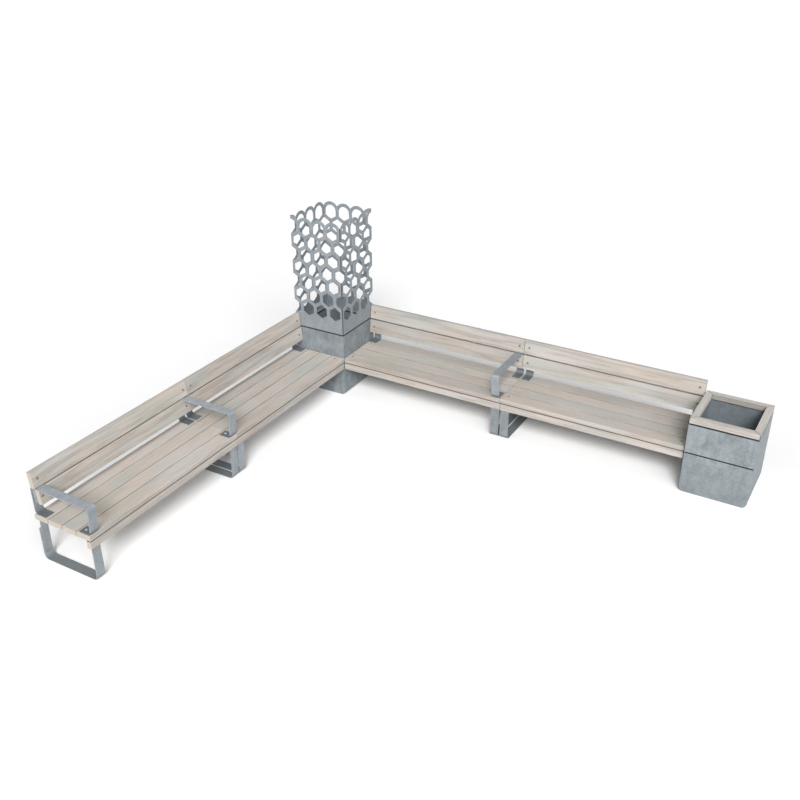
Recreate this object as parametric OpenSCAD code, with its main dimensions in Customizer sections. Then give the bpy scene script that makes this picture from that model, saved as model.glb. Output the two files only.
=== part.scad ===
// Modular park bench: two wings of timber seat modules meet at a corner planter.
// The corner planter carries a hexagon screen, and a low planter ends the right wing.
// Millimetres. Origin: centre of the corner planter's base, on the ground.
// +X runs along the right wing, -Y along the left wing, +Z up.

/* [Layout] */
// Length from the start of one seat module to the start of the next
module_pitch = 1800; // [1200:10:2400]
// Gap between the planks of neighbouring modules
joint_gap = 5; // [2:0.5:15]
// Clearance between the front edges of the two wings at the inner corner
corner_clear = 5; // [0.5:0.5:15]
// Gap between the last planks and the end planter
end_gap = 13; // [5:1:60]
// How much shorter the lower back plank is at the left wing's free end
free_setback = 25; // [0:1:30]
// How far the end planter stands in front of the corner planter's face
end_forward = 35; // [0:1:80]

/* [Seat] */
// Height of the seat's top above the ground
seat_h = 440; // [400:1:480]
// Width of every seat and back plank
plank_w = 145; // [115:1:175]
// Thickness of every plank
plank_t = 45; // [35:1:60]
// Gap between neighbouring seat planks
plank_gap = 10; // [5:0.5:20]
// Radius of the planks' rounded long edges
edge_r = 3; // [1:0.5:8]
// How far the seat stands in front of the planter's face
seat_overhang = 4; // [0:0.5:20]
// Height of the nosing board under the seat's front edge
nosing_h = 71; // [50:1:100]
// Setback of the nosing's face from the seat's front edge
nosing_setback = 3; // [2:1:30]
// Distance of all end fixings from the planks' ends
end_inset = 50; // [45:1:80]
// Distance from the nosing's back to the axis of the front bolts
front_bolt_back = 38; // [20:1:50]

/* [Back] */
// Lean of the back in degrees
back_lean = 7.6; // [3:0.1:14]
// Height of the back's lower edge above the seat
back_rise = 104; // [60:1:150]
// Distance of the back's lower front edge behind the planter's face
back_depth = 512; // [470:1:530]

/* [Steel bars] */
// Thickness of all flat bars
bar_t = 8; // [5:0.5:12]
// Width of the leg bars
leg_w = 86; // [60:1:95]
// Width of the bearer bars
bearer_w = 60; // [40:1:90]
// Width of the armrests and back brackets
arm_w = 80; // [50:1:95]
// How much lower the rear leg ends than the nosing
rear_drop = 14; // [0:1:30]
// Distance of the front leg's face behind the planter's face
leg_front = 5; // [4:1:40]
// Distance of the rear leg's outer face behind the planter's face
leg_rear = 598; // [560:1:650]
// Outer radius of the legs' bottom bends
leg_bend = 50; // [25:1:90]
// Outer radius of the leg's top bend, under the nosing
leg_top_bend = 16; // [12:1:24]
// Distance of the bearers' front ends behind the planter's face
bearer_front = 10; // [8:1:40]
// Width of the tongue that joins two neighbouring modules
tongue_w = 70; // [40:1:100]
// Reach of the tongue past the bearers' middles
tongue_reach = 25; // [12:1:29]
// Outer radius of the bearers' rear bend
bearer_bend = 20; // [14:1:40]
// Length over which a bearer's drop lies against the rear leg
bearer_lap = 50; // [35:1:90]
// Setback of the armrest's face from the seat's front edge
arm_setback = 2; // [0:0.5:10]
// Distance from the seat's front edge to the tip of the armrest's foot
arm_foot = 122; // [100:1:140]
// Forward lean of the armrest's upright in degrees
arm_lean = 6; // [0:0.5:12]
// Step and overlap where the armrest's leaning upright meets its bends
seam_step = 0.05; // [0.02:0.01:0.1]
// Outer radius of the armrest's bottom bend
arm_bend = 28; // [16:1:60]
// Outer radius of the armrest's top bend
arm_top_bend = 22; // [16:1:80]
// Outer radius of the back bracket's bottom bend
bracket_bend = 40; // [20:1:45]
// Outer radius of the bracket's top bend
bracket_top_bend = 16; // [12:1:17]
// Distance of the bracket's rear face behind the strap
bracket_standoff = 19; // [18:0.5:30]
// Length of the bracket's foot, from its rear face to its tip
bracket_foot = 119; // [105:1:135]
// Distance of the strap's ends from the edges of the back
strap_inset = 18; // [8:1:40]
// Width of the planter bearers' legs along the wing
angle_w = 100; // [80:1:130]
// Depth of the planter bearers' hanging flange
angle_h = 60; // [40:1:90]
// Distance of the hanging flange's rear end behind the planter's face
angle_rear = 555; // [500:1:562]

/* [Planters] */
// Side of both square planters
planter_side = 600; // [580:1:700]
// Thickness of the casing sheet
sheet_t = 4; // [2:0.5:6]
// Outer radius of the casing's bottom bends
casing_bend = 50; // [15:1:90]
// Width of the casing's folded top lip
lip_w = 30; // [22:1:50]
// Height of the corner planter's casing above the seat
corner_rise = 256; // [180:1:320]
// Height of the end planter's casing above the seat
end_rise = 253; // [180:1:320]
// Distance of the seam on the end planter's front below the seat's top
seam_drop = 34; // [10:1:150]
// Height of the open seams
seam_h = 8; // [3:0.5:14]
// Depth of both liners below their flange
liner_depth = 280; // [150:5:300]
// Thickness of the liner sheet
liner_t = 3; // [2:0.5:5]
// Clearance between a liner and the casing's lip
liner_clear = 8; // [2:0.5:14]
// Setback of the liner's flange from the planter's face
flange_setback = 16; // [4:0.5:20]
// Thickness of the end planter's liner flange
end_flange_t = 10; // [3:0.5:14]
// Thickness of the corner planter's liner flange
corner_flange_t = 8; // [3:0.5:14]
// Width of the end planter's timber rim boards
rim_w = 60; // [50:1:110]
// Height of the end planter's timber rim boards
rim_h = 52; // [30:1:80]
// Gap in the mitre joints of the rim
mitre_gap = 4; // [0.5:0.5:6]

/* [Hexagon screen] */
// Half pitches of the hexagon pattern along one face
half_pitches = 7; // [5, 7, 9]
// Rows of hexagons
hex_rows = 7; // [3:2:9]
// Height from one hexagon row to the next
row_pitch = 145; // [120:1:160]
// Width of the bars between the hexagons
hex_bar = 38; // [25:1:60]
// Height of the lowest row's middle above the screen's foot
first_row_rise = 214; // [150:1:280]
// Distance from a panel's edge to the middle of its outermost cells
pattern_inset = 10; // [6:1:30]
// Rise of the round tops' centres above the middle of the top row
crown_rise = 13; // [5:1:40]
// Width of the round bars that close the top row
crown_bar = 36; // [15:1:45]
// Clear line between two panels at a corner
corner_line = 5; // [1:0.5:6]
// Depth of the panels' folded returns
return_d = 28; // [20:1:40]

/* [Fixings] */
// Radius of the bolts' shanks
bolt_r = 5; // [4:0.25:6]
// Radius of the bolts' domed heads
head_r = 11; // [9:0.25:13]
// Height of the bolts' domed heads
head_h = 5.5; // [3:0.25:8]
// Radius of the screws' shanks
screw_r = 2.5; // [2:0.25:3.5]
// Radius of the screws' heads
screw_head_r = 6; // [5:0.25:8]
// Height of the screws' heads
screw_head_h = 3; // [2:0.25:5]
// Length of the screws inside the timber
screw_bite = 28; // [15:1:32]
// Distance of the first planter bolt behind the planter's face
planter_bolt_1 = 150; // [110:1:220]
// Distance of the second planter bolt behind the planter's face
planter_bolt_2 = 450; // [350:1:500]
// Clearance round every shank
fit_clear = 0.25; // [0.1:0.05:0.6]
// Clearance above and below an armrest in the slot of the back
slot_clear = 0.4; // [0.3:0.1:2]

/* [Node] */
// Sub-part to draw

/* [Hidden] */
$fn = 48;
// Overrun of every cut past the face it starts from
cut_over = 20;
half_side = planter_side / 2;
module_start = seat_overhang + corner_clear;
module_len = module_pitch - joint_gap;
wing_end = module_start + module_len + module_pitch + end_gap;
plank_step = plank_w + plank_gap;
seat_front = -seat_overhang;
plank_mid = plank_w / 2;
seat_under = seat_h - plank_t;
bearer_under = seat_under - bar_t;
nosing_face = seat_front + nosing_setback;
nosing_back = nosing_face + plank_t;
nosing_under = bearer_under - nosing_h;
front_bolt_d = nosing_back + front_bolt_back;
rear_plank_d = seat_front + 3 * plank_step;
rear_bolt_d = rear_plank_d + plank_mid;
tongue_d = seat_front + plank_step + plank_mid;
// Slot between the back planks that lets a level bar through
back_gap = (bar_t + 2 * slot_clear + plank_t * sin(back_lean)) / cos(back_lean);
back_z = seat_h + back_rise;
upper_s = plank_w + back_gap;
back_len = upper_s + plank_w;
arm_z = back_z + plank_w * cos(back_lean) + slot_clear;
arm_top = arm_z + bar_t;
arm_face = seat_front + arm_setback;
arm_tip = seat_front + arm_foot;
// Back face of the back planks at the height of the armrests
back_face_d = back_depth + (arm_z - back_z) * tan(back_lean) + plank_t / cos(back_lean);
corner_casing_h = seat_h + corner_rise;
end_casing_h = seat_h + end_rise;
seam_z = seat_h - seam_drop;
bracket_rear = back_face_d + bar_t / cos(back_lean) + bracket_standoff;
bearer_rear = leg_rear - bar_t;
bolt_hole_r = bolt_r + fit_clear;
screw_hole_r = screw_r + fit_clear;
short_grip = plank_t + bar_t;
long_grip = plank_t + 2 * bar_t;
angle_under = bearer_under - angle_h;
planter_bolt_z = bearer_under - angle_h / 2;
nosing_mid_z = bearer_under - angle_h / 2;
lip_half = half_side - lip_w;
flange_half = half_side - flange_setback;
liner_half = lip_half - liner_clear;
hex_half = (planter_side - 2 * pattern_inset) / half_pitches;
// The cells' slanted sides drop as much as their upright sides are half tall
cell_apex = row_pitch * 2 / 3;
cell_shoulder = row_pitch / 3;
hex_slope = atan((cell_apex - cell_shoulder) / hex_half);
hex_inset = hex_bar / 2 / cos(hex_slope);
hole_apex = cell_apex - hex_inset;
hole_half = hex_half - hex_bar / 2;
hole_shoulder = hole_apex - hole_half * tan(hex_slope);
screen_z = corner_casing_h + corner_flange_t;
first_row_z = screen_z + first_row_rise;
top_row_z = first_row_z + (hex_rows - 1) * row_pitch;
crown_z = top_row_z + crown_rise;
crown_r = hole_half + crown_bar;
peak_z = crown_z + crown_r;

steel = [0.60, 0.63, 0.65];
timber = [0.78, 0.76, 0.72];
dark = [0.30, 0.33, 0.35];

// Placing: wing frame X along the wing, Y from the front to the back

module right() {
    translate([half_side, -half_side, 0])
        children();
}

module left() {
    translate([half_side, -half_side, 0])
        mirror([1, 1, 0])
            children();
}

// Extrudes a depth and height profile along the wing, centred on u
module bar_at(u, w) {
    translate([u - w / 2, 0, 0])
        rotate([90, 0, 90])
            linear_extrude(height = w)
                children();
}

// Frame of the leaning back: Y through the planks, Z up the slope
module on_back() {
    translate([0, back_depth, back_z])
        rotate([-back_lean, 0, 0])
            children();
}

// Positions of a module's two end fixings
module at_ends(m) {
    for (u = [near_u(m), far_u(m)])
        translate([u, 0, 0])
            children();
}

function start_u(m) = module_start + m * module_pitch;
function near_u(m) = start_u(m) + end_inset;
function far_u(m) = start_u(m) + module_len - end_inset;
function end_u(m, far) = far ? far_u(m) : near_u(m);
function joined(m, far) = far == (m == 0);

// Profiles

module rounded_2d(w, h, r) {
    translate([0, r])
        square([w, h - 2 * r]);
    translate([r, 0])
        square([w - 2 * r, h]);
    for (x = [r, w - r])
        for (y = [r, h - r])
            translate([x, y])
                circle(r = r);
}

// Straight run of a bent bar along +Y, with its outer face on the Y axis and the rest of the bar after it
module run_2d(length) {
    square([bar_t, length]);
    translate([0, length])
        children();
}

// Bend of the bar to the right through span degrees, with the rest of the bar after it
module turn_2d(ro, span) {
    translate([ro, 0]) {
        intersection() {
            difference() {
                circle(r = ro);
                circle(r = ro - bar_t);
            }
            if (span > 90)
                union() {
                    rotate(90)
                        square(ro + cut_over);
                    rotate(180 - span)
                        square(ro + cut_over);
                }
            if (span <= 90)
                intersection() {
                    rotate(90)
                        square(ro + cut_over);
                    rotate(180 - span)
                        square(ro + cut_over);
                }
        }
        rotate(-span)
            translate([-ro, 0])
                children();
    }
}

// Fixings

module shank_hole(r, depth) {
    translate([0, 0, -depth])
        cylinder(r = r, h = depth + cut_over);
}

// Domed bolt along -Z with its head seated on Z = 0
module bolt(grip) {
    dome_r = (head_r * head_r + head_h * head_h) / (2 * head_h);
    translate([0, 0, -grip])
        cylinder(r = bolt_r, h = grip);
    intersection() {
        translate([0, 0, head_h - dome_r])
            sphere(r = dome_r);
        cylinder(r = head_r, h = head_h + cut_over);
    }
}

// Screw along +Z with its head seated under Z = 0
module screw() {
    cylinder(r = screw_r, h = bar_t + screw_bite);
    translate([0, 0, -screw_head_h])
        cylinder(r1 = screw_head_r * 2 / 3, r2 = screw_head_r, h = screw_head_h);
}

module screw_hole() {
    translate([0, 0, -cut_over])
        cylinder(r = screw_hole_r, h = bar_t + screw_bite + fit_clear + cut_over);
}

// Screw places of one bearer, in the two middle planks; a joined one has a tongue under it
module plank_screw_places(u, joined) {
    translate([u, tongue_d, joined ? bearer_under - bar_t : bearer_under])
        children();
    translate([u, tongue_d + plank_step, bearer_under])
        children();
}

// Screw place of one nosing end over a leg's flange
module flange_screw_place(u) {
    translate([u, nosing_back - plank_t / 3, nosing_under - bar_t])
        children();
}

// Screw place of one nosing end on a planter bearer's tab
module tab_screw_place(u) {
    translate([u, nosing_back + bar_t, nosing_mid_z])
        rotate([90, 0, 0])
            children();
}

// Bolt places of one module end in the back planks
module back_bolt_places(u) {
    for (s = [plank_mid, upper_s + plank_mid])
        translate([u, 0, 0])
            on_back()
                translate([0, 0, s])
                    rotate([90, 0, 0])
                        children();
}

// Bolt places of a planter bearer whose flange lies on the face at u
module planter_bolt_places(u, dir) {
    for (d = [planter_bolt_1, planter_bolt_2])
        translate([u + dir * bar_t, d, planter_bolt_z])
            rotate([0, dir * 90, 0])
                children();
}

// Timber

module seat_plank(m, i) {
    color(timber)
        difference() {
            translate([start_u(m), 0, 0])
                rotate([90, 0, 90])
                    linear_extrude(height = module_len)
                        translate([seat_front + i * plank_step, seat_under])
                            rounded_2d(plank_w, plank_t, edge_r);
            if (i == 0)
                at_ends(m)
                    translate([0, front_bolt_d, seat_h])
                        shank_hole(bolt_hole_r, plank_t + cut_over);
            if (i == 3)
                at_ends(m)
                    translate([0, rear_bolt_d, seat_h])
                        shank_hole(bolt_hole_r, plank_t + cut_over);
            if (i == 1 || i == 2)
                for (far = [false, true])
                    plank_screw_places(end_u(m, far), joined(m, far))
                        screw_hole();
        }
}

// near_tab and far_tab tell whether that end is held by a planter bearer
module nosing(m, near_tab, far_tab) {
    color(timber)
        difference() {
            translate([start_u(m), 0, 0])
                rotate([90, 0, 90])
                    linear_extrude(height = module_len)
                        translate([nosing_face, nosing_under])
                            rounded_2d(plank_t, nosing_h, edge_r);
            if (near_tab)
                tab_screw_place(near_u(m))
                    screw_hole();
            if (!near_tab)
                flange_screw_place(near_u(m))
                    screw_hole();
            if (far_tab)
                tab_screw_place(far_u(m))
                    screw_hole();
            if (!far_tab)
                flange_screw_place(far_u(m))
                    screw_hole();
        }
}

// The plank ends short of the module's far end by setback
module back_plank(m, s, setback) {
    color(timber)
        difference() {
            translate([start_u(m), 0, 0])
                on_back()
                    translate([0, 0, s])
                        rotate([90, 0, 90])
                            linear_extrude(height = module_len - setback)
                                rounded_2d(plank_t, plank_w, edge_r);
            for (u = [near_u(m), far_u(m)])
                back_bolt_places(u)
                    shank_hole(bolt_hole_r, plank_t + cut_over);
        }
}

// Steel bars

module leg_2d() {
    translate([leg_rear, nosing_under - rear_drop])
        rotate(180)
            run_2d(nosing_under - rear_drop - leg_bend)
                turn_2d(leg_bend, 90)
                    run_2d(leg_rear - leg_front - 2 * leg_bend)
                        turn_2d(leg_bend, 90)
                            run_2d(nosing_under - leg_bend - leg_top_bend)
                                turn_2d(leg_top_bend, 90)
                                    run_2d(nosing_back - leg_front - leg_top_bend);
}

module bearer_2d() {
    translate([bearer_front, seat_under])
        rotate(-90)
            run_2d(bearer_rear - bearer_bend - bearer_front)
                turn_2d(bearer_bend, 90)
                    run_2d(seat_under - bearer_bend - nosing_under + bearer_lap);
}

// Looped leg bar welded to the bearer bar that carries the planks
module leg_frame(m, far) {
    u = end_u(m, far);
    color(steel)
        difference() {
            union() {
                bar_at(u, leg_w)
                    leg_2d();
                bar_at(u, bearer_w)
                    bearer_2d();
                if (joined(m, far) && m == 1)
                    joining_tongue();
            }
            for (d = [front_bolt_d, rear_bolt_d])
                translate([u, d, seat_under])
                    shank_hole(bolt_hole_r, bar_t + cut_over);
            plank_screw_places(u, joined(m, far))
                screw_hole();
            if (joined(m, far) && m == 1)
                plank_screw_places(far_u(0), true)
                    screw_hole();
            flange_screw_place(u)
                screw_hole();
        }
}

// Plate under one bearer that reaches under the neighbouring module's bearer
module joining_tongue() {
    u0 = far_u(0) - tongue_reach;
    translate([u0, tongue_d - tongue_w / 2, bearer_under - bar_t])
        cube([near_u(1) - u0 + tongue_reach, tongue_w, bar_t]);
}

// Angle bearer on a planter's face at u, reaching along dir
module planter_bearer(u, dir, fix_u) {
    difference() {
        union() {
            translate([u + (dir - 1) / 2 * angle_w, bearer_front, bearer_under])
                cube([angle_w, bearer_rear - bearer_front, bar_t]);
            translate([u + (dir - 1) / 2 * bar_t, nosing_back, angle_under])
                cube([bar_t, angle_rear - nosing_back, angle_h + bar_t]);
            translate([u + (dir - 1) / 2 * angle_w, nosing_back, angle_under])
                cube([angle_w, bar_t, angle_h + bar_t]);
        }
        for (d = [front_bolt_d, rear_bolt_d])
            translate([fix_u, d, seat_under])
                shank_hole(bolt_hole_r, bar_t + cut_over);
        plank_screw_places(fix_u, false)
            screw_hole();
        tab_screw_place(fix_u)
            screw_hole();
        planter_bolt_places(u, dir)
            shank_hole(bolt_hole_r, bar_t + cut_over);
    }
}

module bracket_2d() {
    translate([bracket_rear - bracket_foot, seat_h])
        mirror([0, 1])
            rotate(-90)
                run_2d(bracket_foot - bracket_bend)
                    turn_2d(bracket_bend, 90)
                        run_2d(arm_top - seat_h - bracket_bend - bracket_top_bend)
                            turn_2d(bracket_top_bend, 90)
                                run_2d(bracket_standoff - bracket_top_bend + bar_t / 2);
}

// Footed upright, bent over at the top and welded to the leaning strap behind the back planks
module back_bracket(u) {
    color(steel)
        difference() {
            union() {
                bar_at(u, arm_w)
                    bracket_2d();
                translate([u - arm_w / 2, 0, 0])
                    on_back()
                        translate([0, plank_t, strap_inset])
                            cube([arm_w, bar_t, back_len - 2 * strap_inset]);
            }
            back_bolt_places(u)
                shank_hole(bolt_hole_r, short_grip + cut_over);
            translate([u, rear_bolt_d, seat_h + bar_t])
                shank_hole(bolt_hole_r, bar_t + cut_over);
        }
}

module arm_2d() {
    bend_rise = arm_bend * (1 - sin(arm_lean)) + arm_top_bend * (1 + sin(arm_lean));
    upright = (arm_top - seat_h - bend_rise) / cos(arm_lean);
    low_d = arm_face + arm_bend * (1 - sin(arm_lean)) / cos(arm_lean);
    high_d = low_d + (arm_top_bend - arm_bend) * cos(arm_lean) - upright * sin(arm_lean);
    translate([arm_tip, seat_h])
        rotate(90)
            run_2d(arm_tip - low_d)
                turn_2d(arm_bend, 90 - arm_lean)
                    translate([seam_step, -seam_step])
                        square([bar_t - 2 * seam_step, upright + 2 * seam_step]);
    translate([back_face_d + bar_t, arm_top])
        mirror([0, 1])
            rotate(90)
                run_2d(back_face_d + bar_t - high_d)
                    turn_2d(arm_top_bend, 90 + arm_lean);
}

// Armrest loop, cut to the lean where it meets the strap
module armrest(u) {
    color(steel)
        difference() {
            bar_at(u, arm_w)
                arm_2d();
            translate([u - arm_w / 2 - cut_over, 0, 0])
                on_back()
                    translate([0, plank_t, 0])
                        cube([arm_w + 2 * cut_over, plank_t + cut_over, back_len]);
            translate([u, front_bolt_d, seat_h + bar_t])
                shank_hole(bolt_hole_r, bar_t + cut_over);
        }
}

// Planters

module block(half, z0, z1) {
    translate([-half, -half, z0])
        cube([2 * half, 2 * half, z1 - z0]);
}

module casing_2d(inset, h) {
    r = casing_bend - inset;
    a = half_side - inset;
    translate([-a, casing_bend])
        square([2 * a, h - casing_bend]);
    translate([-half_side + casing_bend, inset])
        square([planter_side - 2 * casing_bend, h - inset]);
    for (x = [-half_side + casing_bend, half_side - casing_bend])
        translate([x, casing_bend])
            circle(r = r);
}

// Sheet casing: sides and floor in one bent sheet, flush front and back sheets, top lip
module casing(h) {
    difference() {
        translate([0, half_side, 0])
            rotate([90, 0, 0])
                linear_extrude(height = planter_side)
                    casing_2d(0, h);
        translate([0, half_side - sheet_t, 0])
            rotate([90, 0, 0])
                linear_extrude(height = planter_side - 2 * sheet_t)
                    casing_2d(sheet_t, h - sheet_t);
        block(lip_half, h - 2 * sheet_t, h + cut_over);
    }
}

// Open box liner that hangs by its flange
module liner(z, flange_t) {
    difference() {
        union() {
            block(flange_half, z, z + flange_t);
            block(liner_half, z - liner_depth, z + flange_t);
        }
        block(liner_half - liner_t, z - liner_depth + liner_t, z + flange_t + cut_over);
    }
}

module hex_hole_2d() {
    polygon([
        [0, hole_apex],
        [-hole_half, hole_shoulder],
        [-hole_half, -hole_shoulder],
        [0, -hole_apex],
        [hole_half, -hole_shoulder],
        [hole_half, hole_shoulder]
    ]);
}

// Cell of the top row: the hexagon's lower part under a round top
module crown_hole_2d() {
    intersection() {
        hex_hole_2d();
        translate([-hole_half, -hole_apex])
            square([2 * hole_half, hole_apex + crown_rise]);
    }
    translate([0, crown_rise])
        circle(r = hole_half);
}

// Middle of cell i, measured from the panel's edge
function cell_x(i) = pattern_inset + i * hex_half;

// Cells of one row; those at the edges run on past the corner
module cell_row_2d(row) {
    for (i = [0 : half_pitches])
        if ((row + i) % 2 == 1)
            translate([cell_x(i), 0])
                if (row == hex_rows - 1)
                    crown_hole_2d();
                else
                    hex_hole_2d();
    for (i = [0, half_pitches])
        if ((row + i) % 2 == 1)
            translate([i == 0 ? 0 : planter_side - pattern_inset, -hole_apex])
                square([pattern_inset, 2 * hole_apex]);
}

// Outline of a panel from its inner corner at x = 0, ends cut back by inset
module screen_2d(inset) {
    intersection() {
        difference() {
            union() {
                translate([0, screen_z])
                    square([planter_side, top_row_z + cell_shoulder - screen_z]);
                for (i = [0 : half_pitches])
                    if ((hex_rows - 1 + i) % 2 == 1)
                        translate([cell_x(i), crown_z])
                            circle(r = crown_r);
            }
            for (row = [0 : hex_rows - 1])
                translate([0, first_row_z + row * row_pitch])
                    cell_row_2d(row);
        }
        translate([inset, screen_z])
            square([planter_side - 2 * inset, peak_z - screen_z]);
    }
}

// Panel with folded returns at the foot and both ends, face on Y = 0
module folded_panel() {
    difference() {
        translate([0, return_d, 0])
            rotate([90, 0, 0])
                linear_extrude(height = return_d)
                    screen_2d(sheet_t);
        translate([2 * sheet_t, sheet_t, screen_z + sheet_t])
            cube([planter_side - 4 * sheet_t, return_d, peak_z - screen_z]);
    }
}

// Panel that laps the returns of its neighbours, with a folded foot
module lapped_panel() {
    translate([0, sheet_t, 0])
        rotate([90, 0, 0])
            linear_extrude(height = sheet_t)
                screen_2d(corner_line);
    translate([return_d + corner_line, 0, screen_z])
        cube([planter_side - 2 * return_d - 2 * corner_line, return_d, sheet_t]);
}

// Wedge that keeps one side of the rim, half the mitre gap short of both diagonals
module mitre_2d() {
    reach = half_side + cut_over;
    slack = mitre_gap / sqrt(2);
    polygon([[-reach + slack, -reach], [reach - slack, -reach], [0, -slack]]);
}

// Timber rim board along the front, mitred at both ends
module rim_board(z) {
    color(timber)
        intersection() {
            translate([-half_side, -half_side, z])
                rotate([90, 0, 90])
                    linear_extrude(height = planter_side)
                        rounded_2d(rim_w, rim_h, edge_r);
            translate([0, 0, z - cut_over])
                linear_extrude(height = rim_h + 2 * cut_over)
                    mitre_2d();
        }
}

module at_end_planter() {
    translate([half_side + wing_end + half_side, -end_forward, 0])
        children();
}

// Sub-parts
module seam_cut() {
    translate([-half_side + sheet_t, -half_side - cut_over, seam_z - seam_h / 2])
        cube([planter_side - 2 * sheet_t, cut_over + sheet_t, seam_h]);
}

module front_bolt(u) {
    translate([u, front_bolt_d, seat_h])
        bolt(short_grip);
}

// Back bolts of one wing
module wing_bolts() {
    for (m = [0, 1])
        for (u = [near_u(m), far_u(m)])
            back_bolt_places(u)
                bolt(short_grip);
}

module foot_bolt_row() {
    for (m = [0, 1])
        at_ends(m)
            translate([0, rear_bolt_d, seat_h + bar_t])
                bolt(long_grip);
}

module arm_bolt(u) {
    translate([u, front_bolt_d, seat_h + bar_t])
        bolt(long_grip);
}

// Plank screws of one wing
module wing_screws() {
    for (m = [0, 1])
        for (far = [false, true])
            plank_screw_places(end_u(m, far), joined(m, far))
                screw();
}

module left_outer_seat_1() {
    left() seat_plank(1, 0);
}

module left_outer_seat_2() {
    left() seat_plank(1, 1);
}

module left_outer_seat_3() {
    left() seat_plank(1, 2);
}

module left_outer_seat_4() {
    left() seat_plank(1, 3);
}

module left_outer_nosing() {
    left() nosing(1, false, false);
}

module left_outer_back_lower() {
    left() back_plank(1, 0, free_setback);
}

module left_outer_back_upper() {
    left() back_plank(1, upper_s, 0);
}

module left_inner_seat_1() {
    left() seat_plank(0, 0);
}

module left_inner_seat_2() {
    left() seat_plank(0, 1);
}

module left_inner_seat_3() {
    left() seat_plank(0, 2);
}

module left_inner_seat_4() {
    left() seat_plank(0, 3);
}

module left_inner_nosing() {
    left() nosing(0, true, false);
}

module left_inner_back_lower() {
    left() back_plank(0, 0, 0);
}

module left_inner_back_upper() {
    left() back_plank(0, upper_s, 0);
}

module right_inner_seat_1() {
    right() seat_plank(0, 0);
}

module right_inner_seat_2() {
    right() seat_plank(0, 1);
}

module right_inner_seat_3() {
    right() seat_plank(0, 2);
}

module right_inner_seat_4() {
    right() seat_plank(0, 3);
}

module right_inner_nosing() {
    right() nosing(0, true, false);
}

module right_inner_back_lower() {
    right() back_plank(0, 0, 0);
}

module right_inner_back_upper() {
    right() back_plank(0, upper_s, 0);
}

module right_outer_seat_1() {
    right() seat_plank(1, 0);
}

module right_outer_seat_2() {
    right() seat_plank(1, 1);
}

module right_outer_seat_3() {
    right() seat_plank(1, 2);
}

module right_outer_seat_4() {
    right() seat_plank(1, 3);
}

module right_outer_nosing() {
    right() nosing(1, false, true);
}

module right_outer_back_lower() {
    right() back_plank(1, 0, 0);
}

module right_outer_back_upper() {
    right() back_plank(1, upper_s, 0);
}

module left_end_leg_frame() {
    left() leg_frame(1, true);
}

module left_outer_leg_frame() {
    left() leg_frame(1, false);
}

module left_inner_leg_frame() {
    left() leg_frame(0, true);
}

module right_inner_leg_frame() {
    right() leg_frame(0, true);
}

module right_outer_leg_frame() {
    right() leg_frame(1, false);
}

module planter_bearers() {
    color(steel) {
        left() planter_bearer(0, 1, near_u(0));
        right() planter_bearer(0, 1, near_u(0));
        right() planter_bearer(wing_end, -1, far_u(1));
    }
}

module left_outer_near_bracket() {
    left() back_bracket(near_u(1));
}

module left_outer_far_bracket() {
    left() back_bracket(far_u(1));
}

module left_inner_near_bracket() {
    left() back_bracket(near_u(0));
}

module left_inner_far_bracket() {
    left() back_bracket(far_u(0));
}

module right_inner_near_bracket() {
    right() back_bracket(near_u(0));
}

module right_inner_far_bracket() {
    right() back_bracket(far_u(0));
}

module right_outer_near_bracket() {
    right() back_bracket(near_u(1));
}

module right_outer_far_bracket() {
    right() back_bracket(far_u(1));
}

module left_end_armrest() {
    left() armrest(far_u(1));
}

module left_middle_armrest() {
    left() armrest(near_u(1));
}

module right_middle_armrest() {
    right() armrest(far_u(0));
}

module corner_casing() {
    color(steel) difference() {
        casing(corner_casing_h);
        left() planter_bolt_places(0, 1) shank_hole(bolt_hole_r, plank_t);
        right() planter_bolt_places(0, 1) shank_hole(bolt_hole_r, plank_t);
    }
}

module corner_liner() {
    color(dark) liner(corner_casing_h, corner_flange_t);
}

module screen_front_right() {
    color(steel) translate([half_side, -half_side, 0]) rotate(90) lapped_panel();
}

module screen_front_left() {
    color(steel) translate([half_side, -half_side, 0]) mirror([1, 0, 0]) folded_panel();
}

module screen_back_right() {
    color(steel) translate([-half_side, half_side, 0]) mirror([0, 1, 0]) folded_panel();
}

module screen_back_left() {
    color(steel) translate([-half_side, half_side, 0]) rotate(-90) lapped_panel();
}

module end_casing() {
    color(steel) difference() {
        at_end_planter() casing(end_casing_h);
        at_end_planter() seam_cut();
        right() planter_bolt_places(wing_end, -1) shank_hole(bolt_hole_r, plank_t);
    }
}

module end_liner() {
    color(dark) at_end_planter() liner(end_casing_h, end_flange_t);
}

module end_rim_front() {
    at_end_planter() rotate(0) rim_board(end_casing_h + end_flange_t);
}

module end_rim_right() {
    at_end_planter() rotate(90) rim_board(end_casing_h + end_flange_t);
}

module end_rim_back() {
    at_end_planter() rotate(180) rim_board(end_casing_h + end_flange_t);
}

module end_rim_left() {
    at_end_planter() rotate(270) rim_board(end_casing_h + end_flange_t);
}

module plank_bolts() {
    color(dark) {
        right() wing_bolts();
        left() wing_bolts();
        left() front_bolt(near_u(0));
        left() front_bolt(far_u(0));
        right() front_bolt(near_u(0));
        right() front_bolt(near_u(1));
        right() front_bolt(far_u(1));
        left() planter_bolt_places(0, 1) bolt(short_grip);
        right() planter_bolt_places(0, 1) bolt(short_grip);
        right() planter_bolt_places(wing_end, -1) bolt(short_grip);
    }
}

module foot_bolts() {
    color(dark) {
        left() foot_bolt_row();
        right() foot_bolt_row();
        left() arm_bolt(far_u(1));
        left() arm_bolt(near_u(1));
        right() arm_bolt(far_u(0));
    }
}

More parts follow.
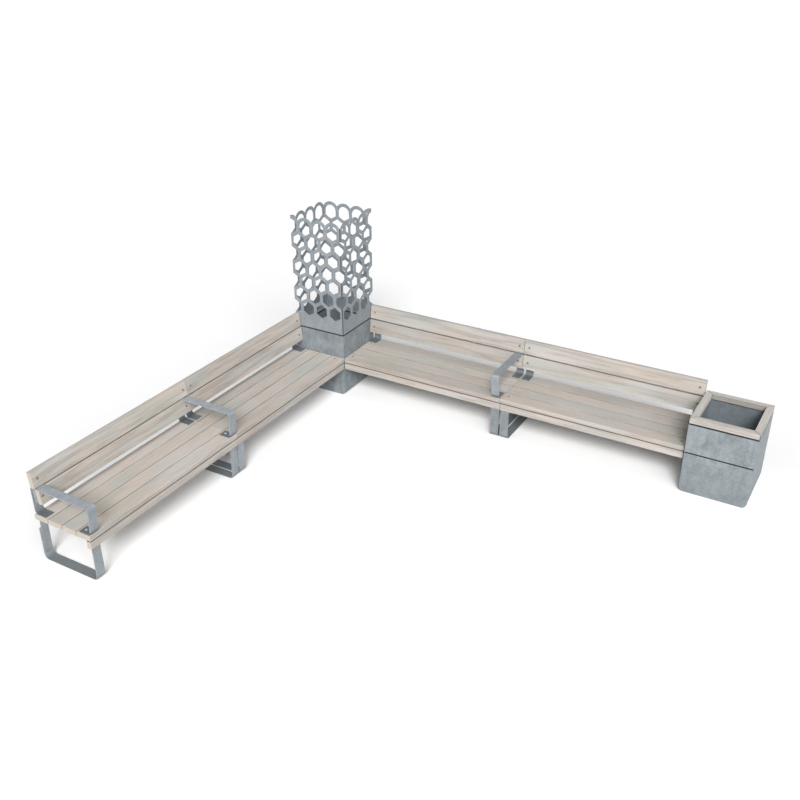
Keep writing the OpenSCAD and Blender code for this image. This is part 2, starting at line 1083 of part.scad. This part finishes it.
module screws() {
    color(dark) {
        left() wing_screws();
        right() wing_screws();
        left() tab_screw_place(near_u(0)) screw();
        right() tab_screw_place(near_u(0)) screw();
        right() tab_screw_place(far_u(1)) screw();
        left() flange_screw_place(far_u(0)) screw();
        left() flange_screw_place(near_u(1)) screw();
        left() flange_screw_place(far_u(1)) screw();
        right() flange_screw_place(far_u(0)) screw();
        right() flange_screw_place(near_u(1)) screw();
    }
}

// Drawing

left_outer_seat_1();
left_outer_seat_2();
left_outer_seat_3();
left_outer_seat_4();
left_outer_nosing();
left_outer_back_lower();
left_outer_back_upper();
left_inner_seat_1();
left_inner_seat_2();
left_inner_seat_3();
left_inner_seat_4();
left_inner_nosing();
left_inner_back_lower();
left_inner_back_upper();
right_inner_seat_1();
right_inner_seat_2();
right_inner_seat_3();
right_inner_seat_4();
right_inner_nosing();
right_inner_back_lower();
right_inner_back_upper();
right_outer_seat_1();
right_outer_seat_2();
right_outer_seat_3();
right_outer_seat_4();
right_outer_nosing();
right_outer_back_lower();
right_outer_back_upper();
left_end_leg_frame();
left_outer_leg_frame();
left_inner_leg_frame();
right_inner_leg_frame();
right_outer_leg_frame();
planter_bearers();
left_outer_near_bracket();
left_outer_far_bracket();
left_inner_near_bracket();
left_inner_far_bracket();
right_inner_near_bracket();
right_inner_far_bracket();
right_outer_near_bracket();
right_outer_far_bracket();
left_end_armrest();
left_middle_armrest();
right_middle_armrest();
corner_casing();
corner_liner();
screen_front_right();
screen_front_left();
screen_back_right();
screen_back_left();
end_casing();
end_liner();
end_rim_front();
end_rim_right();
end_rim_back();
end_rim_left();
plank_bolts();
foot_bolts();
screws();
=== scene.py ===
import math
import random

import bpy
from mathutils import Matrix, Vector

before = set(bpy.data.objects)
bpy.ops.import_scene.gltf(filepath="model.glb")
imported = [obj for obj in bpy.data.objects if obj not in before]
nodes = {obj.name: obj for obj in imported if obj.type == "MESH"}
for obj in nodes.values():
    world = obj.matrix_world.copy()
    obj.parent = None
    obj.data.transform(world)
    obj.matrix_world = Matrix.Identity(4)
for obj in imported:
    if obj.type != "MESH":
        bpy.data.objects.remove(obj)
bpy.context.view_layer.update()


# --------------------------------------------------------------------- colours

# The curve of screen colours: straight below the knee, a power above it
SRGB_TOP = 255.0
SRGB_KNEE = 0.04045
SRGB_SLOPE = 12.92
SRGB_OFFSET = 0.055
SRGB_POWER = 2.4


def srgb(*channels):
    """Linear colour of an 8 bit screen colour."""
    out = []
    for channel in channels:
        c = channel / SRGB_TOP
        if c <= SRGB_KNEE:
            out.append(c / SRGB_SLOPE)
        else:
            out.append(((c + SRGB_OFFSET) / (1 + SRGB_OFFSET)) ** SRGB_POWER)
    return (*out, 1.0)


def shaded(colour, factor):
    """The colour times a factor, no brighter than white."""
    return tuple(min(1.0, v * factor) for v in colour[:3]) + (1.0,)


# ---------------------------------------------------------------- named values
# Lengths are metres in the CAD frame and angles are degrees. Texture scales are
# per metre. A span is a pair of texture values, or of places, over which
# a change runs, and a depth is how far the change goes at its end.

WHITE = (1.0, 1.0, 1.0, 1.0)

# Greyed timber: the grain's tones, the patches' tints and the cut ends
WOOD_STOPS = ((0.26, srgb(160, 154, 147)), (0.50, srgb(188, 183, 178)), (0.74, srgb(200, 196, 191)))
WOOD_END_STOPS = ((0.0, srgb(178, 168, 156)), (1.0, srgb(199, 191, 181)))
WOOD_WARM = srgb(255, 247, 241)
WOOD_COOL = srgb(241, 248, 248)
WOOD_SHIFT = 20.0
WARM_PATCH = {"along": 1.7, "across": 7.0, "scale": 1.0, "detail": 2.0, "rough": 0.5}
COOL_PATCH = {"along": 1.1, "across": 5.0, "scale": 1.3, "detail": 1.0, "rough": 0.5}
WOOD_STREAK = {"along": 4.5, "across": 105.0, "scale": 1.0, "detail": 3.0, "rough": 0.6}
WOOD_FIBRE = {"along": 22.0, "across": 620.0, "scale": 1.0, "detail": 3.0, "rough": 0.65}
FIGURE_ALONG, FIGURE_ACROSS = 1.0, 14.0
WOOD_FIGURE = {"scale": 1.5, "distortion": 8.0, "detail": 2.0, "detail_scale": 0.8}
WOOD_RINGS = {"scale": 34.0, "distortion": 3.0, "detail": 2.0, "detail_scale": 2.0}
FIGURE_SHARE, STREAK_SHARE, FIBRE_SHARE = 0.20, 0.50, 0.30
WARM_SPAN = (0.36, 0.64)
COOL_SPAN = (0.46, 0.66)
WOOD_TONE_SPAN = (0.3, 0.7)
WOOD_ROUGHNESS = (0.64, 0.78)
WOOD_SPECULAR = 0.3
WOOD_BUMP = (0.35, 0.0010)

# Timber, by the side that a board shows: its ends, its mitres, painted shade on its sides
# along a gap, and a line of painted shade under the seat, at depths below the nosing's top
END_NORMAL = 0.8
MITRE_NORMAL = math.sqrt(0.5)
MITRE_NORMAL_HALF = 0.08
MITRE_DARK = srgb(84, 74, 64)
SIDE_NORMAL_SPAN = (0.45, 0.85)
SEAM_SHADE_BELOW_TOP = (0.0045, 0.0015)
GAP_SHADE = srgb(120, 108, 98)

# Boards: each takes a shade in turn, times a factor for its module's seat, nosing,
# lower back or upper back
BOARD_KINDS = ("_seat_", "_nosing", "_back_lower", "_back_upper")
PLANK_SHADES = (1.00, 0.965, 1.03, 0.985, 1.015)
PLANK_SHADE_STEP = 3
MODULE_SHADES = {
    "left_outer": (1.10, 1.03, 1.08, 1.09),
    "left_inner": (0.95, 0.96, 0.95, 0.99),
    "right_inner": (0.91, 0.98, 0.78, 0.87),
    "right_outer": (0.94, 0.98, 0.92, 0.98),
}
# Painted shade on the sides of the inner seat boards along the gaps, by wing
GAP_SIDE_SHADE = {"left": 0.15, "right": 0.5}
PLANK_WARMTH = 1.0
RIM_SHADE = 1.05
RIM_WARMTH = 0.25
# Painted shade on the sides of the end planter's back rim board
RIM_BACK_SIDE_SHADE = 0.4

# Hot-dip zinc: its textures, their shares, and the finish of each kind of piece
ZINC_CLOUD = {"detail": 4.0, "rough": 0.55, "distortion": 0.6}
ZINC_CLOUD_SCALE = 11.0
ZINC_RUN_STRETCH = (26.0, 26.0, 5.0)
ZINC_RUN = {"scale": 1.0, "detail": 3.0, "rough": 0.55}
ZINC_FLAKE_SCALE = 62.0
ZINC_FINE = {"scale": 170.0, "detail": 3.0, "rough": 0.6}
CLOUD_SHARE, RUN_SHARE, FLAKE_SHARE, FINE_SHARE = 0.50, 0.28, 0.10, 0.12
ZINC_STOPS = (0.36, 0.49, 0.63)
ZINC_SPAN = (0.3, 0.7)
ZINC_SPECULAR = 0.2
ZINC_BUMP = (0.10, 0.0006)
BAR_FINISH = {"spread": 0.16, "rough": (0.42, 0.56), "metal": 0.15}
SCREEN_FINISH = {"spread": 0.14, "rough": (0.42, 0.58), "metal": 0.12}
CASING_FINISH = {"spread": 0.25, "rough": (0.45, 0.62), "metal": 0.08, "cloud_scale": 7.5}
LINER_FINISH = {"spread": 0.16, "rough": (0.45, 0.62), "metal": 0.08}
WASHER_FINISH = {"spread": 0.08, "rough": (0.35, 0.5), "metal": 0.5, "cloud_scale": 60.0}

# Zinc colours; the corner casing's, end liner's and right legs' greys are darker, for painted shade
BAR_GREY = srgb(152, 159, 165)
SCREEN_GREY = srgb(140, 147, 152)
END_CASING_GREY = srgb(139, 146, 150)
# The corner casing's grey is darker than the end casing's, for painted shade in the corner between
# the wings
CORNER_CASING_SHADED_GREY = srgb(130, 137, 141)
# The end liner's grey is darker than the corner liner's, for painted shade in its hollow
END_LINER_SHADED_GREY = srgb(113, 120, 124)
CORNER_LINER_GREY = srgb(122, 129, 133)
LEFT_LEG_GREY = srgb(150, 157, 162)
# The right legs' grey is a darker copy of the left legs', for painted shade under the right wing
RIGHT_LEG_SHADED_GREY = srgb(132, 138, 142)
WASHER_GREY = srgb(186, 190, 194)

# Zinc, darker places. Painted shade: the screen's corners, the bars' feet at heights
# above the seat, the casings' seams, low parts and top edge, the liners' flange and
# the legs' run on the ground. Also darker: the right armrest at depths below its top
SCREEN_CORNER_FROM = 0.2935
SCREEN_CORNER_SHADE = srgb(70, 74, 78)
FOOT_SHADE_SPAN = (0.045, 0.012)
FOOT_SHADE_DEPTH = 0.78
FOOT_SHADE = srgb(78, 84, 86)
ARM_TOP_SPAN = (0.014, 0.006)
ARM_TOP_DEPTH = 0.45
ARM_TOP_DARK = srgb(108, 114, 118)
SEAM_Z = 0.406
SEAM_SHADOW_HALF = 0.0060
SEAM_SHADOW = srgb(46, 52, 55)
FRONT_FACE_DEPTH = 0.004
LOW_SHADE_TOP = 0.35
LOW_SHADE_DEPTH = 0.35
LOW_SHADE = srgb(104, 112, 116)
CASING_EDGE = 0.004
CASING_EDGE_SHADOW = srgb(58, 64, 67)
FLANGE_EDGE = 0.001
FLANGE_SHADOW = srgb(40, 44, 46)
GROUND_SHADE_Z = 0.012
GROUND_SHADE_FADE = 0.03
GROUND_SHADE_DEPTH = 0.75
GROUND_SHADE = srgb(104, 109, 111)
BACK_WASHER_DARK = srgb(92, 96, 99)

# Dark bolts and screws
BOLT_GREY = srgb(112, 99, 91)
BOLT_WEAR = {"scale": 160.0, "detail": 3.0, "rough": 0.6}
BOLT_STOPS = (0.4, 0.75)
BOLT_WORN_FACTOR = 1.8
BOLT_SPAN = (0.3, 0.7)
BOLT_ROUGHNESS = (0.38, 0.55)
BOLT_METAL = 0.6
BOLT_BUMP = (0.05, 0.0003)

# Stage: a floor and a world that are white where they are seen, and soft suns,
# each with the azimuth that its light travels to, its elevation, strength and angle
FLOOR_HALF = 60.0
FLOOR_LIT = (0.60, 0.60, 0.60, 1.0)
FLOOR_SEEN = (0.985, 0.985, 0.985, 1.0)
FLOOR_GLOW = 0.02
DOME_COLOUR = (0.97, 0.985, 1.0, 1.0)
DOME_STRENGTH = 0.06
SEEN_STRENGTH = 1.0
SUNS = {
    "key": (116.0, 38.0, 2.80, 22.0),
    "right_fill": (138.0, 30.0, 1.45, 34.0),
    "high_fill": (175.0, 62.0, 0.38, 30.0),
    "left_fill": (62.0, 35.0, 0.42, 40.0),
}

# Camera, solved from the photograph
CAM_POS = (5.371, -7.896, 4.896)
CAM_YAW = 120.022
CAM_PITCH = 28.550
CAM_ROLL = 0.122
CAM_LENS = 43.22
CAM_SENSOR = 36.0
CAM_CLIP_END = 200.0

# Sockets of the Mix node's colours, and where a ramp's added stop first lies
MIX_A, MIX_B, MIX_RESULT = 6, 7, 2
RAMP_NEW_STOP = 0.5


# ---------------------------------------------------------------- shader trees

class Shader:
    """Short way to add and link the nodes of a material or a world."""

    def __init__(self, owner):
        owner.use_nodes = True
        self.nodes = owner.node_tree.nodes
        self.links = owner.node_tree.links
        self.nodes.clear()

    def set(self, socket, value):
        """Link the socket to an output, or give it a value."""
        if hasattr(value, "is_output"):
            self.links.new(value, socket)
        else:
            socket.default_value = value

    def add(self, kind, *inputs, **named_inputs):
        """New node, with its inputs given in order or by name."""
        node = self.nodes.new("ShaderNode" + kind)
        for socket, value in zip(node.inputs, inputs):
            self.set(socket, value)
        for name, value in named_inputs.items():
            self.set(node.inputs[name.replace("_", " ")], value)
        return node

    def math(self, operation, a, b=0.0):
        node = self.add("Math", a, b)
        node.operation = operation
        return node.outputs[0]

    def seen(self):
        """1 for what the camera sees, by itself, in a reflection or through glass."""
        path = self.add("LightPath").outputs
        seen = self.math("MAXIMUM", path["Is Camera Ray"], path["Is Glossy Ray"])
        return self.math("MAXIMUM", seen, path["Is Transmission Ray"])


class Material(Shader):
    """A material with a Principled shader, in the CAD frame's coordinates."""

    def __init__(self, name):
        self.mat = bpy.data.materials.new(name)
        super().__init__(self.mat)
        self.out = self.add("OutputMaterial")
        self.bsdf = self.add("BsdfPrincipled")
        self.links.new(self.bsdf.outputs["BSDF"], self.out.inputs["Surface"])
        self.coord = self.add("TexCoord").outputs["Object"]

    def mapping(self, scale=(1, 1, 1), offset=(0, 0, 0)):
        node = self.add("Mapping", Vector=self.coord, Location=offset, Scale=scale)
        return node.outputs["Vector"]

    def noise(self, vector, scale, detail, rough, distortion=0.0):
        node = self.add("TexNoise", Vector=vector, Scale=scale, Detail=detail, Roughness=rough,
                        Distortion=distortion)
        return node.outputs["Fac"]

    def wave(self, vector, kind, direction, scale, distortion, detail, detail_scale):
        node = self.add("TexWave", Vector=vector, Scale=scale, Distortion=distortion, Detail=detail,
                        Detail_Scale=detail_scale)
        node.wave_type = kind
        if kind == "BANDS":
            node.bands_direction = direction
        else:
            node.rings_direction = direction
        return node.outputs["Fac"]

    def xyz(self, vector):
        return self.add("SeparateXYZ", vector).outputs

    def absolute(self, value):
        return self.math("ABSOLUTE", value)

    def weighted(self, *parts):
        """Sum of outputs, each times its share."""
        total = None
        for value, share in parts:
            term = self.math("MULTIPLY", value, share)
            total = term if total is None else self.math("ADD", total, term)
        return total

    def remap(self, value, span, to=(0.0, 1.0)):
        """Straight change between two values over a span, held beyond it."""
        node = self.add("MapRange", Value=value, From_Min=span[0], From_Max=span[1], To_Min=to[0],
                        To_Max=to[1])
        return node.outputs["Result"]

    def ramp(self, value, stops):
        node = self.add("ValToRGB", Fac=value)
        elements = node.color_ramp.elements
        while len(elements) < len(stops):
            elements.new(RAMP_NEW_STOP)
        for element, (position, colour) in zip(elements, stops):
            element.position = position
            element.color = colour
        return node.outputs["Color"]

    def mix(self, factor, a, b, blend="MIX"):
        node = self.add("Mix")
        node.data_type = "RGBA"
        node.blend_type = blend
        self.set(node.inputs["Factor"], factor)
        self.set(node.inputs[MIX_A], a)
        self.set(node.inputs[MIX_B], b)
        return node.outputs[MIX_RESULT]

    def base(self, **values):
        """Set or link sockets of the Principled shader."""
        for name, value in values.items():
            self.set(self.bsdf.inputs[name.replace("_", " ")], value)

    def colour(self):
        """The output that colours the surface so far."""
        return self.bsdf.inputs["Base Color"].links[0].from_socket

    def tint(self, factor, colour, blend="MIX"):
        """Take the surface's colour towards another by a factor."""
        self.base(Base_Color=self.mix(factor, self.colour(), colour, blend))

    def bump(self, height, strength, distance):
        node = self.add("Bump", Height=height, Strength=strength, Distance=distance)
        self.base(Normal=node.outputs["Normal"])


# ----------------------------------------------------------- places on the CAD

def top_of(name):
    return max(v.co.z for v in nodes[name].data.vertices)


def front_of(name):
    return min(v.co.y for v in nodes[name].data.vertices)


def is_front_board(name):
    """The seat board nearest the sitter's knees, which gets no painted shade on its sides."""
    row = name.rsplit("_", 1)[0]
    reach = {}
    for other in nodes:
        if other.startswith(row + "_"):
            vertices = nodes[other].data.vertices
            if row.startswith("left"):
                reach[other] = max(v.co.x for v in vertices)
            else:
                reach[other] = -min(v.co.y for v in vertices)
    return max(reach, key=reach.get) == name


# ---------------------------------------------------------------------- timber

def wood_grain(t, axis, shift, shade, warmth):
    """Colour a board by its grain and patches, and return the grain's tone."""
    def stretch(along, across):
        scale = (along, across, across) if axis == "X" else (across, along, across)
        return t.mapping(scale=scale, offset=shift)

    def layer(along, across, **noise):
        return t.noise(stretch(along, across), **noise)

    side = "Y" if axis == "X" else "X"
    figure = t.wave(stretch(FIGURE_ALONG, FIGURE_ACROSS), "BANDS", side, **WOOD_FIGURE)
    tone = t.weighted((figure, FIGURE_SHARE), (layer(**WOOD_STREAK), STREAK_SHARE),
                      (layer(**WOOD_FIBRE), FIBRE_SHARE))
    t.base(Base_Color=t.ramp(tone, [(at, shaded(colour, shade)) for at, colour in WOOD_STOPS]))
    t.tint(t.remap(layer(**WARM_PATCH), WARM_SPAN, (0.0, warmth)), WOOD_WARM, "MULTIPLY")
    t.tint(t.remap(layer(**COOL_PATCH), COOL_SPAN), WOOD_COOL, "MULTIPLY")
    return tone


def wood_faces(t, axis, shift, side_shade, mitred):
    """Rings on the cut ends, dark mitres, and painted shade on the sides along the gaps."""
    normal = t.xyz(t.add("NewGeometry").outputs["True Normal"])
    along, across = (normal[0], normal[1]) if axis == "X" else (normal[1], normal[0])
    rings = t.wave(t.mapping(offset=shift), "RINGS", axis, **WOOD_RINGS)
    t.tint(t.math("GREATER_THAN", t.absolute(along), END_NORMAL), t.ramp(rings, WOOD_END_STOPS))
    if mitred:
        off = t.absolute(t.math("SUBTRACT", t.absolute(across), MITRE_NORMAL))
        t.tint(t.math("LESS_THAN", off, MITRE_NORMAL_HALF), MITRE_DARK)
    # Painted shade on the sides along the gaps
    if side_shade:
        t.tint(t.remap(t.absolute(across), SIDE_NORMAL_SPAN, (0.0, side_shade)), GAP_SHADE)


def wood(name, axis, seed, shade, seam=None, warmth=PLANK_WARMTH, side_shade=0.0, mitred=False):
    """Greyed softwood with its grain along axis 'X' or 'Y', with painted shade at a seam's height.
    """
    t = Material(name)
    rng = random.Random(seed)
    shift = tuple(rng.uniform(-WOOD_SHIFT, WOOD_SHIFT) for _ in "xyz")
    tone = wood_grain(t, axis, shift, shade, warmth)
    wood_faces(t, axis, shift, side_shade, mitred)
    # Painted shade in a line at the seam under the seat
    if seam is not None:
        span = [seam - below for below in SEAM_SHADE_BELOW_TOP]
        t.tint(t.remap(t.xyz(t.coord)[2], span), GAP_SHADE)
    t.base(Roughness=t.remap(tone, WOOD_TONE_SPAN, WOOD_ROUGHNESS),
           Specular_IOR_Level=WOOD_SPECULAR)
    t.bump(tone, *WOOD_BUMP)
    return t.mat


# ----------------------------------------------------------------------- steel

def galvanised(name, base, spread, rough, metal, cloud_scale=ZINC_CLOUD_SCALE):
    """Hot-dip zinc: soft clouds, broad runs and a faint crystal spangle."""
    t = Material(name)
    cloud = t.noise(t.mapping(), cloud_scale, **ZINC_CLOUD)
    runs = t.noise(t.mapping(scale=ZINC_RUN_STRETCH), **ZINC_RUN)
    cells = t.add("TexVoronoi", Vector=t.mapping(), Scale=ZINC_FLAKE_SCALE)
    flakes = t.add("SeparateColor", cells.outputs["Color"]).outputs[0]
    fine = t.noise(t.mapping(), **ZINC_FINE)
    value = t.weighted((cloud, CLOUD_SHARE), (runs, RUN_SHARE), (flakes, FLAKE_SHARE),
                       (fine, FINE_SHARE))
    tones = (shaded(base, 1 - spread), base, shaded(base, 1 + spread))
    t.base(Base_Color=t.ramp(value, list(zip(ZINC_STOPS, tones))),
           Roughness=t.remap(value, ZINC_SPAN, rough), Metallic=metal,
           Specular_IOR_Level=ZINC_SPECULAR)
    t.bump(value, *ZINC_BUMP)
    return t


def screen_material():
    """The screen's zinc, with painted shade in the line where two sheets meet at a corner."""
    t = galvanised("galvanised_screen", SCREEN_GREY, **SCREEN_FINISH)
    x, y = (t.absolute(v) for v in t.xyz(t.coord)[:2])
    # Painted shade in the corner where two sheets meet
    t.tint(t.math("GREATER_THAN", t.math("MINIMUM", x, y), SCREEN_CORNER_FROM), SCREEN_CORNER_SHADE)
    return t.mat


def bar_material(name, top=None):
    """Bent bar, with painted shade at its feet on the seat, and darker at its top where that height
    is given.
    """
    t = galvanised(name, BAR_GREY, **BAR_FINISH)
    z = t.xyz(t.coord)[2]
    seat = top_of("left_outer_seat_1")
    # Painted shade on the feet that stand on the seat
    t.tint(t.remap(z, [seat + above for above in FOOT_SHADE_SPAN], (0.0, FOOT_SHADE_DEPTH)), FOOT_SHADE)
    if top is not None:
        span = [top - below for below in ARM_TOP_SPAN]
        t.tint(t.remap(z, span, (0.0, ARM_TOP_DEPTH)), ARM_TOP_DARK)
    return t.mat


def seam_line(t, z, height):
    """1 close to a height, for a line of painted shadow."""
    return t.math("LESS_THAN", t.absolute(t.math("SUBTRACT", z, height)), SEAM_SHADOW_HALF)


def end_casing_material():
    """Clouded sheet with painted shade towards the ground, and painted shadow at its top edge and
    along a front seam.
    """
    t = galvanised("galvanised_sheet", END_CASING_GREY, **CASING_FINISH)
    y, z = t.xyz(t.coord)[1:3]
    # Painted shade, darker towards the ground
    t.tint(t.remap(z, (LOW_SHADE_TOP, 0.0), (0.0, LOW_SHADE_DEPTH)), LOW_SHADE)
    # Painted shadow on the top edge, under the rim
    edge = top_of("end_casing") - CASING_EDGE
    t.tint(t.math("GREATER_THAN", z, edge), CASING_EDGE_SHADOW)
    # Painted shadow along the front seam
    in_front = t.math("LESS_THAN", y, front_of("end_casing") + FRONT_FACE_DEPTH)
    t.tint(t.math("MULTIPLY", seam_line(t, z, SEAM_Z), in_front), SEAM_SHADOW)
    return t.mat


def corner_casing_material():
    """Clouded sheet with a line of painted shadow round its top edge."""
    t = galvanised("galvanised_corner", CORNER_CASING_SHADED_GREY, **CASING_FINISH)
    # Painted shadow in a line round the top edge
    t.tint(seam_line(t, t.xyz(t.coord)[2], top_of("corner_casing")), SEAM_SHADOW)
    return t.mat


def liner_material(name, base, casing):
    """Liner, with painted shadow on the flange that fills the line above its casing."""
    t = galvanised(name, base, **LINER_FINISH)
    # Painted shadow on the flange above the casing
    edge = top_of(casing) - FLANGE_EDGE
    t.tint(t.math("GREATER_THAN", t.xyz(t.coord)[2], edge), FLANGE_SHADOW)
    return t.mat


def leg_material(name, base):
    """Bent leg bar, with painted shade on the run that lies on the ground."""
    t = galvanised(name, base, **BAR_FINISH)
    # Painted shade near the ground
    out_of_ground_shade = t.remap(t.xyz(t.coord)[2], (GROUND_SHADE_Z, GROUND_SHADE_Z + GROUND_SHADE_FADE))
    colour = t.colour()
    ground_shaded_colour = t.mix(GROUND_SHADE_DEPTH, colour, GROUND_SHADE)
    t.base(Base_Color=t.mix(out_of_ground_shade, ground_shaded_colour, colour))
    return t.mat


def washer_material():
    """Bright washers in front, darker ones behind, where x and y have the same sign."""
    t = galvanised("galvanised_bolt", WASHER_GREY, **WASHER_FINISH)
    x, y = t.xyz(t.coord)[:2]
    t.tint(t.math("GREATER_THAN", t.math("MULTIPLY", x, y), 0.0), BACK_WASHER_DARK)
    return t.mat


def bolt_material():
    """Dark, slightly worn steel."""
    t = Material("bolt_steel")
    wear = t.noise(t.mapping(), **BOLT_WEAR)
    tones = (BOLT_GREY, shaded(BOLT_GREY, BOLT_WORN_FACTOR))
    t.base(Base_Color=t.ramp(wear, list(zip(BOLT_STOPS, tones))),
           Roughness=t.remap(wear, BOLT_SPAN, BOLT_ROUGHNESS), Metallic=BOLT_METAL)
    t.bump(wear, *BOLT_BUMP)
    return t.mat


# ------------------------------------------------------------- dress the nodes

def paint(name, material):
    obj = nodes[name]
    obj.data.materials.clear()
    obj.data.materials.append(material)


def plank_material(name, kind, seed, shade):
    """A seat, nosing or back board of one of the four modules."""
    wing, place = name.split("_")[:2]
    shade *= MODULE_SHADES[wing + "_" + place][kind]
    # Nosings get a line of painted shade where they meet the seat
    seam = top_of(name) if "_nosing" in name else None
    # Inner seat boards get painted shade on their sides along the gaps
    inner = "_seat_" in name and not is_front_board(name)
    return wood("wood_" + name, "X" if wing == "right" else "Y", seed, shade, seam,
                side_shade=GAP_SIDE_SHADE[wing] if inner else 0.0)


def rim_material(name, seed, shade):
    """A mitred board of the end planter's rim."""
    axis = "X" if name.endswith(("front", "back")) else "Y"
    return wood("wood_" + name, axis, seed, shade * RIM_SHADE, warmth=RIM_WARMTH,
                side_shade=RIM_BACK_SIDE_SHADE if name == "end_rim_back" else 0.0, mitred=True)


def dress_timber():
    seed = 0
    for name in sorted(nodes):
        kind = next((k for k, word in enumerate(BOARD_KINDS) if word in name), None)
        rim = name.startswith("end_rim_")
        if kind is None and not rim:
            continue
        seed += 1
        shade = PLANK_SHADES[(seed * PLANK_SHADE_STEP) % len(PLANK_SHADES)]
        if rim:
            paint(name, rim_material(name, seed, shade))
        else:
            paint(name, plank_material(name, kind, seed, shade))


def dress_steel():
    """Paint each steel node with the first material whose words are all in its name."""
    bars = bar_material("galvanised_bar")
    right_arm = bar_material("galvanised_arm_right", top_of("right_middle_armrest"))
    bolts = bolt_material()
    materials = (
        ("foot_bolts", washer_material()),
        ("plank_bolts", bolts),
        ("screws", bolts),
        ("end_liner", liner_material("end_liner_zinc_shaded", END_LINER_SHADED_GREY, "end_casing")),
        ("corner_liner", liner_material("corner_liner_zinc", CORNER_LINER_GREY, "corner_casing")),
        ("end_casing", end_casing_material()),
        ("corner_casing", corner_casing_material()),
        ("screen_", screen_material()),
        ("left leg_frame", leg_material("galvanised_leg_left", LEFT_LEG_GREY)),
        ("right leg_frame", leg_material("galvanised_leg_right_shaded", RIGHT_LEG_SHADED_GREY)),
        ("right_middle_armrest", right_arm),
        ("armrest", bars),
        ("bracket", bars),
        ("planter_bearers", bars),
    )
    for name in nodes:
        for words, material in materials:
            if all(word in name for word in words.split()):
                paint(name, material)
                break


# ----------------------------------------------------------------------- stage

def floor_material():
    """Floor that looks white, throws less light back and keeps the object's soft shadow."""
    t = Material("floor")
    seen = t.seen()
    t.base(Base_Color=t.mix(seen, FLOOR_LIT, FLOOR_SEEN), Roughness=1.0, Specular_IOR_Level=0.0)
    glow = t.add("Emission", Color=WHITE, Strength=t.math("MULTIPLY", seen, FLOOR_GLOW))
    both = t.add("AddShader", t.bsdf.outputs["BSDF"], glow.outputs[0])
    t.links.new(both.outputs[0], t.out.inputs["Surface"])
    return t.mat


def make_floor():
    mesh = bpy.data.meshes.new("floor")
    s = FLOOR_HALF
    mesh.from_pydata([(-s, -s, 0), (s, -s, 0), (s, s, 0), (-s, s, 0)], [], [(0, 1, 2, 3)])
    obj = bpy.data.objects.new("floor", mesh)
    bpy.context.scene.collection.objects.link(obj)
    mesh.materials.append(floor_material())


def make_world():
    """White where it is seen, and a faint cool dome in the light that it gives."""
    world = bpy.data.worlds.new("studio")
    bpy.context.scene.world = world
    shader = Shader(world)
    dome = shader.add("Background", Color=DOME_COLOUR, Strength=DOME_STRENGTH)
    white = shader.add("Background", Color=WHITE, Strength=SEEN_STRENGTH)
    both = shader.add("MixShader", shader.seen(), dome.outputs[0], white.outputs[0])
    shader.add("OutputWorld", Surface=both.outputs[0])


def sun(name, azimuth, elevation, strength, angle):
    """Soft sun whose light travels towards the azimuth, in degrees from +X."""
    a, e = math.radians(azimuth), math.radians(elevation)
    direction = (math.cos(a) * math.cos(e), math.sin(a) * math.cos(e), -math.sin(e))
    data = bpy.data.lights.new(name, "SUN")
    data.energy = strength
    data.angle = math.radians(angle)
    obj = bpy.data.objects.new(name, data)
    obj.rotation_euler = Vector(direction).to_track_quat("-Z", "Y").to_euler()
    bpy.context.scene.collection.objects.link(obj)


def make_camera():
    yaw, pitch, roll = (math.radians(v) for v in (CAM_YAW, CAM_PITCH, CAM_ROLL))
    forward = Vector((math.cos(pitch) * math.cos(yaw), math.cos(pitch) * math.sin(yaw),
                      -math.sin(pitch)))
    right = Vector((math.sin(yaw), -math.cos(yaw), 0.0))
    down = forward.cross(right)
    r = right * math.cos(roll) + down * math.sin(roll)
    d = down * math.cos(roll) - right * math.sin(roll)
    data = bpy.data.cameras.new("camera")
    data.sensor_width = CAM_SENSOR
    data.lens = CAM_LENS
    data.clip_end = CAM_CLIP_END
    obj = bpy.data.objects.new("camera", data)
    turn = Matrix((r, -d, -forward)).transposed().to_4x4()
    obj.matrix_world = Matrix.Translation(CAM_POS) @ turn
    bpy.context.scene.collection.objects.link(obj)
    bpy.context.scene.camera = obj


dress_timber()
dress_steel()
make_floor()
make_world()
for sun_name, settings in SUNS.items():
    sun(sun_name, *settings)
make_camera()
bpy.context.scene.view_settings.view_transform = "Standard"
